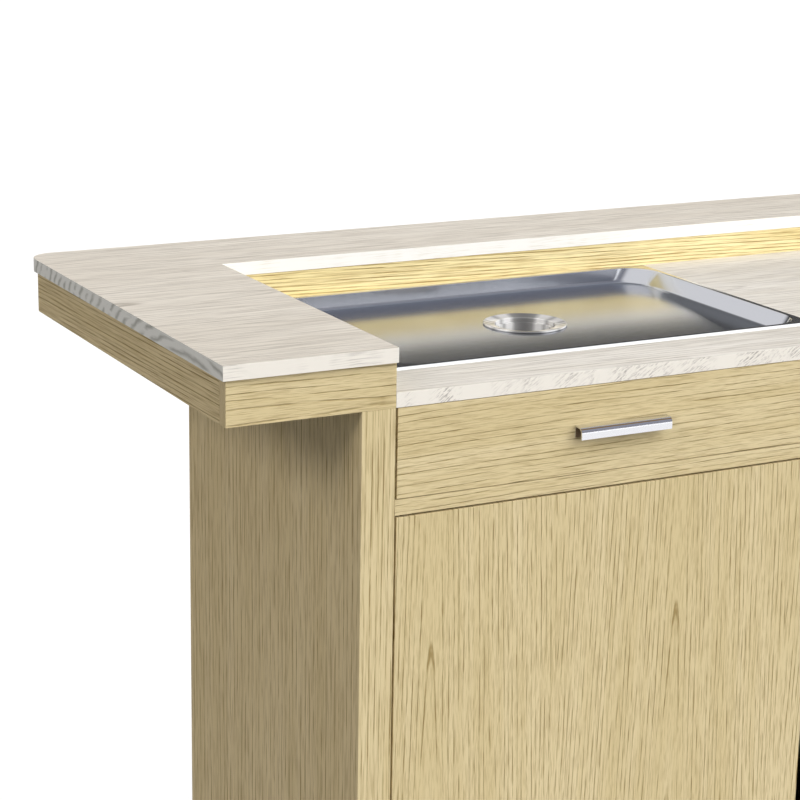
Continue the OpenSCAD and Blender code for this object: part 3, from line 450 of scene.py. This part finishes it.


def paintedSheenMaterial(name, colour, roughness, metallic):
    material, tree, shader = startMaterial(name)
    place = placeParts(tree)[0]
    low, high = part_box("strainer_body")
    offsetX = plus(tree, place[0], -(low[0] + high[0]) / 2)
    offsetY = plus(tree, place[1], -(low[1] + high[1]) / 2)
    alongX = times(tree, offsetX, math.cos(paintedSheenFacing))
    alongY = times(tree, offsetY, math.sin(paintedSheenFacing))
    ahead = plus(tree, alongX, alongY)
    radius = calc(tree, "SQRT", plus(tree, times(tree, offsetX, offsetX), times(tree, offsetY, offsetY)))
    share = calc(tree, "ABSOLUTE", calc(tree, "DIVIDE", ahead, radius))
    # painted highlights and shade: the ramp makes the steel lighter or darker by which way its wall faces
    ramp = addNode(tree, "ShaderNodeValToRGB", {0: share})
    stops = ramp.color_ramp.elements
    while len(stops) < len(paintedSheen):
        stops.new(0.5)
    for stop, (spot, level) in zip(stops, paintedSheen):
        stop.position, stop.color = spot, (level, level, level, 1.0)
    paintedSheenColour = addNode(tree, "ShaderNodeMix", data_type="RGBA", blend_type="MULTIPLY")
    paintedSheenColour.inputs[0].default_value = 1.0
    tree.links.new(ramp.outputs[0], paintedSheenColour.inputs[6])
    paintedSheenColour.inputs[7].default_value = colour
    setShader(tree, shader, colour=paintedSheenColour.outputs[2], metallic=metallic, roughness=roughness)
    return material


strainerSteel = paintedSheenMaterial("strainerSteel", paint(252, 252, 252), 0.16, 0.3)
basketSteel = paintedSheenMaterial("basketSteel", paint(252, 252, 252), 0.25, 0.3)


# plastics and rubber

gritSet = {"perMetre": 700.0, "low": 0.3, "high": 0.7, "wear": 0.08, "relief": 0.0001}


def mouldedMaterial(name, colour, roughness):
    material, tree, shader = startMaterial(name)
    place = addNode(tree, "ShaderNodeTexCoord").outputs["Object"]
    inputs = {"Vector": place, "Scale": gritSet["perMetre"], "Detail": 1.0}
    grit = addNode(tree, "ShaderNodeTexNoise", inputs).outputs[0]
    wear = gritSet["wear"]
    worn = remap(tree, grit, gritSet["low"], gritSet["high"], roughness - wear, roughness + wear)
    setShader(tree, shader, colour=colour, roughness=worn, normal=bumpFrom(tree, grit, gritSet["relief"]))
    return material


wastePlastic = mouldedMaterial("wastePlastic", paint(236, 236, 232), 0.42)
bushPlastic = mouldedMaterial("bushPlastic", paint(110, 96, 66), 0.5)
glidePlastic = mouldedMaterial("glidePlastic", paint(58, 58, 60), 0.55)
catchPlastic = mouldedMaterial("catchPlastic", paint(240, 238, 230), 0.4)
sealRubber = mouldedMaterial("sealRubber", paint(40, 40, 41), 0.7)


# which finish each CAD node has

finishOf = {}
for finish, names in (
        (washedTop, ["raised_top"]),
        (washedWork, ["worktop"]),
        (oakSide, ["side_panel_left", "side_panel_right", "back_panel", "centre_partition"]),
        (oakDoor, ["left_door", "right_door"]),
        (oakDrawer, ["left_drawer_front", "right_drawer_front", "plinth_board"]),
        (oakLevel, ["front_apron_left", "front_apron_right", "rear_apron", "cross_rail", "bottom_panel",
                    "shelf"]),
        (oakDeep, ["side_apron_left", "side_apron_right", "wing_fascia_left", "wing_fascia_right",
                   "top_battens"]),
        (oakRearPaintedLight, ["rear_fascia"]),
        (drawerBoard, ["left_drawer_sides", "left_drawer_ends", "left_drawer_bottom", "right_drawer_sides",
                       "right_drawer_ends", "right_drawer_bottom"]),
        (sinkSteel, ["sink_tray"]),
        (strainerSteel, ["strainer_body"]),
        (basketSteel, ["strainer_basket"]),
        (pullAluminium, ["left_drawer_pull", "right_drawer_pull"]),
        (platedSteel, ["shelf_pins", "angle_brackets", "left_runner_rails", "right_runner_rails",
                       "left_runner_slides", "right_runner_slides", "left_strike_plate", "right_strike_plate",
                       "sink_clips"]),
        (pivotSteel, ["left_pivot_pins", "right_pivot_pins"]),
        (screwSteel, ["bracket_screws", "left_pull_screws", "right_pull_screws"]),
        (nutBrass, ["strainer_locknut"]),
        (wastePlastic, ["tailpiece", "union_nuts", "trap_body", "trap_cup", "waste_elbow", "waste_pipe"]),
        (bushPlastic, ["pivot_bushes"]),
        (glidePlastic, ["foot_glides"]),
        (catchPlastic, ["door_catches"]),
        (sealRubber, ["sink_seal", "strainer_washer"])):
    for name in names:
        finishOf[name] = finish
        for slot in frame["nodes"][name].material_slots:
            slot.material = finish
print("finishes on", len(finishOf), "CAD nodes")

record = frame["record"]
bodyOf = {name: body for body, names in record["behaviour"]["bodies"].items() for name in names}


def addPiece(name, mesh, node):
    # a finished piece that stands for one CAD node and moves with its body
    mesh.materials.clear()
    mesh.materials.append(finishOf[node])
    piece = bpy.data.objects.new(name, mesh)
    bpy.context.scene.collection.objects.link(piece)
    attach(piece, bodyOf[node])
    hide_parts(node)
    return piece


# boards and pulls, whose edges are broken with sandpaper

boardEase = {"offset": 0.0007, "segments": 2, "shortest": 0.010}
pullEase = {"offset": 0.0009, "segments": 3, "shortest": 0.0015}
easeSet = {
    "merge": 0.00001,         # points closer than this are one
    "flat": 0.5,              # degrees below which two faces are one
    "easeFrom": 30.0,         # degrees from which an edge is eased
    "creaseFrom": 45.0,       # degrees from which shading breaks
    "normalWeight": 60,
}
pullSet = {"wall": 0.0017, "underFrom": -0.3, "endFrom": 0.5}   # which faces of the hood get the painted shade


def evenNormals(piece):
    # flat faces stay flat and only the eased edges between them are shaded round
    for face in piece.data.polygons:
        face.use_smooth = True
    weighted = piece.modifiers.new("evenNormals", "WEIGHTED_NORMAL")
    weighted.weight = easeSet["normalWeight"]
    weighted.keep_sharp = True


def easedPiece(name, node, ease):
    form = bmesh.new()
    form.from_mesh(frame["nodes"][node].data)
    bmesh.ops.remove_doubles(form, verts=form.verts, dist=easeSet["merge"])
    flat = math.radians(easeSet["flat"])
    bmesh.ops.dissolve_limit(form, angle_limit=flat, verts=form.verts, edges=form.edges)
    sharp = [edge for edge in form.edges
             if edge.is_manifold and edge.is_convex and edge.calc_length() > ease["shortest"]
             and edge.calc_face_angle() > math.radians(easeSet["easeFrom"])]
    bmesh.ops.bevel(form, geom=sharp, offset=ease["offset"], offset_type="OFFSET", segments=ease["segments"],
                    profile=0.5, affect="EDGES", clamp_overlap=True)
    for edge in form.edges:
        edge.smooth = not edge.is_manifold or edge.calc_face_angle() < math.radians(easeSet["creaseFrom"])
    mesh = bpy.data.meshes.new(name)
    form.to_mesh(mesh)
    form.free()
    piece = addPiece(name, mesh, node)
    evenNormals(piece)
    return piece


easedBoards = {
    "raisedTop": "raised_top", "worktopBoard": "worktop",
    "frontApronLeft": "front_apron_left", "frontApronRight": "front_apron_right",
    "sideApronLeft": "side_apron_left", "sideApronRight": "side_apron_right", "rearApron": "rear_apron",
    "wingFasciaLeft": "wing_fascia_left", "wingFasciaRight": "wing_fascia_right", "rearFascia": "rear_fascia",
    "sidePanelLeft": "side_panel_left", "sidePanelRight": "side_panel_right", "backPanel": "back_panel",
    "bottomPanel": "bottom_panel", "plinthBoard": "plinth_board", "centrePartition": "centre_partition",
    "crossRail": "cross_rail", "shelfBoard": "shelf",
    "leftDrawerFront": "left_drawer_front", "rightDrawerFront": "right_drawer_front",
    "leftDoorLeaf": "left_door", "rightDoorLeaf": "right_door",
}
for name, node in easedBoards.items():
    easedPiece(name, node, boardEase)
for name, node in (("leftPull", "left_drawer_pull"), ("rightPull", "right_drawer_pull")):
    pull = easedPiece(name, node, pullEase)
    pull.data.materials.append(pullPaintedShade)
    low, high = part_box(node)
    wall = pullSet["wall"]
    for face in pull.data.polygons:            # painted shade: the hollow under the hood and the faces that look down are coloured dark brown
        across, height = face.center[1], face.center[2]
        hollow = low[1] + wall < across < high[1] - wall and height < high[2] - wall
        looksDown = face.normal[2] < pullSet["underFrom"]
        if (hollow or looksDown) and abs(face.normal[0]) < pullSet["endFrom"]:
            face.material_index = 1
print("boards and pulls with eased edges")


# sink, lofted through closed loops that all have the same number of points

sinkSet = {
    "sheet": 0.0010,
    "rim": 0.007,             # width of the flat rim round the bowl
    "corner": 0.045,          # radius of the bowl's corners at the top
    "rimCorner": 0.003,
    "rimRise": 0.004,
    "rimMargin": 0.0002,      # faces this much above the worktop belong to the rim
    "drainRadius": 0.0435,
    "drainFlat": 0.020,       # level ring of floor round the drain
    "rimRoll": 0.0003,        # rounding of the rim's outer edge
    "lipRoll": 0.0009,        # rounding where the rim turns down into the bowl
    "rimLean": 0.0007,        # how far the rim's outer edge leans back
    "leanSides": 0.013,       # how far the left and right walls lean in
    "leanEnds": 0.0012,
    "floorRound": 0.0022,
    "foot": 0.0018,           # height of the strip at the foot of the front and back walls
    "footLean": 0.00034,
    "rimSteps": 3,            # steps of each rounding
    "lipSteps": 4,
    "floorSteps": 6,
    "cornerSteps": 10,
    "sideSteps": 8,
}


def quarterTurn(steps):
    # sine and cosine at even steps from 0 to 90 degrees
    angles = [math.radians(90 * step / steps) for step in range(steps + 1)]
    return [(math.sin(angle), math.cos(angle)) for angle in angles]


def roundedLoop(middle, halfX, halfY, radius, z):
    # a rectangle with round corners, its points spaced alike in every loop
    points = []
    corners = ((1, 1, 0), (-1, 1, 90), (-1, -1, 180), (1, -1, 270))
    for index, (signX, signY, start) in enumerate(corners):
        pivot = (signX * (halfX - radius), signY * (halfY - radius))
        for step in range(sinkSet["cornerSteps"] + 1):
            angle = math.radians(start + 90 * step / sinkSet["cornerSteps"])
            points.append((pivot[0] + radius * math.cos(angle), pivot[1] + radius * math.sin(angle)))
        nextX, nextY, nextStart = corners[(index + 1) % len(corners)]
        last = points[-1]
        angle = math.radians(nextStart)
        goal = (nextX * (halfX - radius) + radius * math.cos(angle),
                nextY * (halfY - radius) + radius * math.sin(angle))
        for step in range(1, sinkSet["sideSteps"]):
            share = step / sinkSet["sideSteps"]
            points.append((last[0] + (goal[0] - last[0]) * share, last[1] + (goal[1] - last[1]) * share))
    return [(middle[0] + x, middle[1] + y, z) for x, y in points]


def ringLoop(middle, radius, z, loop):
    # a circle whose points look towards the points of the given loop
    points = []
    for x, y, _ in loop:
        angle = math.atan2(y - middle[1], x - middle[0])
        points.append((middle[0] + radius * math.cos(angle), middle[1] + radius * math.sin(angle), z))
    return points


def loftMesh(name, loops, sharpRows=()):
    # one skin through all the loops and back to the first
    form = bmesh.new()
    rows = [[form.verts.new(point) for point in loop] for loop in loops]
    count = len(rows[0])
    for first, second in zip(rows, rows[1:] + rows[:1]):
        for step in range(count):
            after = (step + 1) % count
            form.faces.new((first[step], first[after], second[after], second[step]))
    bmesh.ops.recalc_face_normals(form, faces=form.faces)
    for index in sharpRows:
        for step in range(count):
            form.edges.get((rows[index][step], rows[index][(step + 1) % count])).smooth = False
    mesh = bpy.data.meshes.new(name)
    form.to_mesh(mesh)
    form.free()
    return mesh


def makeSink():
    low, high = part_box("sink_tray")
    flangeLow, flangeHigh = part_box("strainer_body")
    middle = ((low[0] + high[0]) / 2, (low[1] + high[1]) / 2)
    drain = ((flangeLow[0] + flangeHigh[0]) / 2, (flangeLow[1] + flangeHigh[1]) / 2)
    halfX, halfY = (high[0] - low[0]) / 2, (high[1] - low[1]) / 2
    sheet, rim, corner, turn = (sinkSet[key] for key in ("sheet", "rim", "corner", "floorRound"))
    top = high[2]
    deck = top - sinkSet["rimRise"]            # the worktop's face, where the rim's edge stands
    floor = low[2] + sheet

    def rimLoop(inset, z):
        return roundedLoop(middle, halfX - inset, halfY - inset, sinkSet["rimCorner"] - inset, z)

    footTop = floor + turn + sinkSet["foot"]

    def bowlLoop(inset, z):
        lean = (top - z) / (top - floor)
        foot = sinkSet["footLean"] * min(1.0, max(0.0, (footTop - z) / sinkSet["foot"]))
        return roundedLoop(middle, halfX - rim - inset - sinkSet["leanSides"] * lean,
                           halfY - rim - inset - foot - sinkSet["leanEnds"] * lean, corner - inset, z)

    loops = [rimLoop(0.0, deck)]
    roll = sinkSet["rimRoll"]
    for sine, cosine in quarterTurn(sinkSet["rimSteps"]):       # rim's outer edge, rolled over
        loops.append(rimLoop(sinkSet["rimLean"] + roll * (1 - cosine), top - roll + roll * sine))
    roll = sinkSet["lipRoll"]
    for sine, cosine in quarterTurn(sinkSet["lipSteps"]):       # from the rim down into the bowl
        loops.append(bowlLoop(roll * (sine - 1), top - roll + roll * cosine))
    footRow = len(loops)
    loops.append(bowlLoop(0.0, footTop))
    for sine, cosine in quarterTurn(sinkSet["floorSteps"]):     # round the foot of the wall into the floor
        loops.append(bowlLoop(turn * (1 - cosine), floor + turn - turn * sine))
    edge = loops[-1]
    bore = sinkSet["drainRadius"]
    for radius, z in ((bore + sinkSet["drainFlat"], floor), (bore, floor), (bore, floor - sheet)):
        loops.append(ringLoop(drain, radius, z, edge))
    loops.append(bowlLoop(turn - sheet, floor - sheet))
    loops.append(bowlLoop(-sheet, floor + turn))
    loops.append(bowlLoop(-sheet, top - sheet))
    loops.append(rimLoop(sheet, top - sheet))
    loops.append(rimLoop(sheet, deck))
    mesh = loftMesh("sinkTray", loops, sharpRows=(0, footRow, footRow + 1))
    piece = addPiece("sinkTray", mesh, "sink_tray")
    piece.data.materials.append(rimSteel)
    for face in piece.data.polygons:           # the rim is polished
        if face.center[2] > deck + sinkSet["rimMargin"]:
            face.material_index = 1
    evenNormals(piece)


makeSink()


# strainer, turned from one profile

strainerSet = {
    "cupRadius": 0.0400,
    "cupOuter": 0.0425,
    "cupDepth": 0.0440,       # below the sink's floor
    "cupWall": 0.0025,
    "flangeRise": 0.0025,
    "dish": 0.0024,           # how far the flange drops towards the cup
    "edge": 0.0014,
    "cupRound": 0.0042,       # rounding at the foot of the cup
    "boreRadius": 0.0182,
    "socketRadius": 0.0202,
    "socketDepth": 0.0180,
    "spigotRadius": 0.0232,
    "edgeSteps": 5,
    "dishSteps": 8,
    "overSteps": 4,
    "cupSteps": 3,
    "steps": 128,
}


def turnedMesh(name, profile, middle, steps):
    angles = [2 * math.pi * step / steps for step in range(steps)]
    loops = []
    for radius, z in profile:
        loops.append([(middle[0] + radius * math.cos(angle), middle[1] + radius * math.sin(angle), z)
                      for angle in angles])
    return loftMesh(name, loops)


def makeStrainer():
    low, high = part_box("strainer_body")
    look = strainerSet
    middle = ((low[0] + high[0]) / 2, (low[1] + high[1]) / 2)
    flange = (high[0] - low[0]) / 2
    top = high[2]
    seat = top - look["flangeRise"]
    cupFloor = seat - look["cupDepth"]
    inner, edge, dish = look["cupRadius"], look["edge"], look["dish"]
    profile = [(flange, seat)]
    for sine, cosine in quarterTurn(look["edgeSteps"]):         # rounded rim of the flange
        profile.append((flange - edge * (1 - cosine), top - edge + edge * sine))
    for step in range(1, look["dishSteps"]):                    # hollow face that falls towards the cup
        share = step / look["dishSteps"]
        fall = dish * math.sin(math.pi / 2 * share)
        profile.append((flange - edge - (flange - 2 * edge - inner) * share, top - fall))
    for sine, cosine in quarterTurn(look["overSteps"]):         # over the edge into the cup
        profile.append((inner + edge * (1 - sine), top - dish - edge + edge * cosine))
    for sine, cosine in quarterTurn(look["cupSteps"]):          # round the foot of the cup
        profile.append((inner - look["cupRound"] * (1 - cosine), cupFloor + look["cupRound"] * (1 - sine)))
    shoulder, under = low[2] + look["socketDepth"], cupFloor - look["cupWall"]
    bore, socket = look["boreRadius"], look["socketRadius"]
    spigot, outer = look["spigotRadius"], look["cupOuter"]
    profile += [(bore, cupFloor), (bore, shoulder), (socket, shoulder), (socket, low[2]),
                (spigot, low[2]), (spigot, under), (outer, under), (outer, seat)]
    mesh = turnedMesh("strainerBody", profile, middle, look["steps"])
    evenNormals(addPiece("strainerBody", mesh, "strainer_body"))


makeStrainer()
print("sink and strainer")


# floor, light and camera

floorSet = {"half": 40.0, "diffuse": 0.18, "glow": 0.92}


def seenStraight(tree):
    # 1 for rays that come from the camera or off metal and glass, 0 for light that spreads
    path = addNode(tree, "ShaderNodeLightPath").outputs
    seen = calc(tree, "MAXIMUM", path["Is Camera Ray"], path["Is Glossy Ray"])
    return calc(tree, "MAXIMUM", seen, path["Is Transmission Ray"])


def makeFloor():
    mesh = bpy.data.meshes.new("floor")
    half = floorSet["half"]
    corners = [(-half, -half, 0), (half, -half, 0), (half, half, 0), (-half, half, 0)]
    mesh.from_pydata(corners, [], [(0, 1, 2, 3)])
    floor = bpy.data.objects.new("floor", mesh)
    bpy.context.scene.collection.objects.link(floor)
    material = bpy.data.materials.new("floorWhite")
    material.use_nodes = True
    tree = material.node_tree
    tree.nodes.clear()
    matt = addNode(tree, "ShaderNodeBsdfDiffuse", {0: (floorSet["diffuse"],) * 3 + (1.0,)})
    strength = times(tree, seenStraight(tree), floorSet["glow"])
    glow = addNode(tree, "ShaderNodeEmission", {0: (1, 1, 1, 1), 1: strength})
    both = addNode(tree, "ShaderNodeAddShader", {0: matt.outputs[0], 1: glow.outputs[0]})
    addNode(tree, "ShaderNodeOutputMaterial", {0: both.outputs[0]})
    mesh.materials.append(material)


worldSet = {
    "ambient": (0.17, 0.155, 0.145, 1.0),
    "front": (                # what metal mirrors from the front, by height: 0 is level, 1 straight up
        (0.00, (1.80, 1.80, 1.80, 1.0)),
        (0.10, (1.80, 1.80, 1.80, 1.0)),
        (0.14, (0.32, 0.32, 0.355, 1.0)),
        (0.30, (0.26, 0.26, 0.30, 1.0)),
        (0.80, (0.36, 0.38, 0.44, 1.0)),
        (1.00, (0.45, 0.46, 0.48, 1.0)),
    ),
    "back": (
        (0.00, (1.00, 1.00, 1.00, 1.0)),
        (0.03, (0.80, 0.80, 0.80, 1.0)),
        (0.09, (0.09, 0.09, 0.095, 1.0)),
        (0.40, (0.05, 0.05, 0.05, 1.0)),
        (0.48, (0.17, 0.17, 0.17, 1.0)),
        (1.00, (0.45, 0.46, 0.48, 1.0)),
    ),
    "backFrom": -0.05,        # Y of a ray at which the front sky turns into the back one
    "backTo": 0.15,
    "sideGlow": (1.02, 1.00, 1.00, 1.0),   # pale walls to the left and right
    "leftFrom": 0.10,
    "leftTo": 0.35,
    "rightFrom": 0.70,
    "rightTo": 0.90,
}


def skyRamp(tree, height, stopList):
    ramp = addNode(tree, "ShaderNodeValToRGB", {0: height})
    stops = ramp.color_ramp.elements
    while len(stops) < len(stopList):
        stops.new(0.5)
    for stop, (place, colour) in zip(stops, stopList):
        stop.position, stop.color = place, colour
    return ramp.outputs[0]


def makeWorld():
    world = bpy.data.worlds.new("studio")
    bpy.context.scene.world = world
    world.use_nodes = True
    tree = world.node_tree
    tree.nodes.clear()
    direction = addNode(tree, "ShaderNodeTexCoord").outputs["Generated"]
    aim = addNode(tree, "ShaderNodeSeparateXYZ", {0: direction}).outputs
    isBack = remap(tree, aim[1], worldSet["backFrom"], worldSet["backTo"])
    ahead, behind = (skyRamp(tree, aim[2], worldSet[side]) for side in ("front", "back"))
    sky = blendColours(tree, isBack, ahead, behind)
    left = remap(tree, times(tree, aim[0], -1.0), worldSet["leftFrom"], worldSet["leftTo"])
    right = remap(tree, aim[0], worldSet["rightFrom"], worldSet["rightTo"])
    sky = blendColours(tree, calc(tree, "MAXIMUM", left, right), sky, worldSet["sideGlow"])
    isCamera = addNode(tree, "ShaderNodeLightPath").outputs["Is Camera Ray"]
    sky = blendColours(tree, isCamera, sky, (1.0, 1.0, 1.0, 1.0))
    colour = blendColours(tree, seenStraight(tree), worldSet["ambient"], sky)
    back = addNode(tree, "ShaderNodeBackground", {0: colour, 1: 1.0})
    addNode(tree, "ShaderNodeOutputWorld", {0: back.outputs[0]})


lampSet = {
    "key": {"from": (0.35, -0.75, 0.56), "strength": 3.05, "spread": 75.0, "colour": (1.0, 1.0, 1.0)},
    "left": {"from": (-0.805, -0.293, 0.515), "strength": 0.95, "spread": 22.0, "colour": (1.0, 0.94, 0.90)},
    "back": {"from": (0.45, 0.85, 0.25), "strength": 1.40, "spread": 25.0, "colour": (1.0, 1.0, 1.0)},
}


def makeLamps():
    for name, look in lampSet.items():
        lamp = bpy.data.lights.new(name, "SUN")
        lamp.energy = look["strength"]
        lamp.angle = math.radians(look["spread"])
        lamp.color = look["colour"]
        holder = bpy.data.objects.new(name, lamp)
        holder.rotation_euler = Vector(look["from"]).to_track_quat("Z", "Y").to_euler()
        holder.visible_glossy = False
        bpy.context.scene.collection.objects.link(holder)


cameraSet = {
    "place": (-1.7725, -2.5333, 1.6496),
    "yaw": 27.595,        # degrees to the right of straight ahead
    "pitch": 14.935,      # degrees down
    "roll": 0.944,
    "lens": 100.681,      # on Blender's 36 mm sensor
    "reach": 200.0,
}


def makeCamera():
    yaw, pitch, roll = (math.radians(cameraSet[key]) for key in ("yaw", "pitch", "roll"))
    ahead = Vector((math.sin(yaw) * math.cos(pitch), math.cos(yaw) * math.cos(pitch), -math.sin(pitch)))
    level = Vector((math.cos(yaw), -math.sin(yaw), 0.0))
    above = level.cross(ahead)
    right = math.cos(roll) * level + math.sin(roll) * above
    up = math.cos(roll) * above - math.sin(roll) * level
    turn = Matrix((right, up, -ahead)).transposed()
    lens = bpy.data.cameras.new("view")
    lens.lens = cameraSet["lens"]
    lens.clip_end = cameraSet["reach"]
    camera = bpy.data.objects.new("view", lens)
    camera.matrix_world = Matrix.Translation(cameraSet["place"]) @ turn.to_4x4()
    bpy.context.scene.collection.objects.link(camera)
    bpy.context.scene.camera = camera


makeFloor()
makeWorld()
makeLamps()
makeCamera()
bpy.context.scene.view_settings.view_transform = "Standard"
print("floor, light and camera")
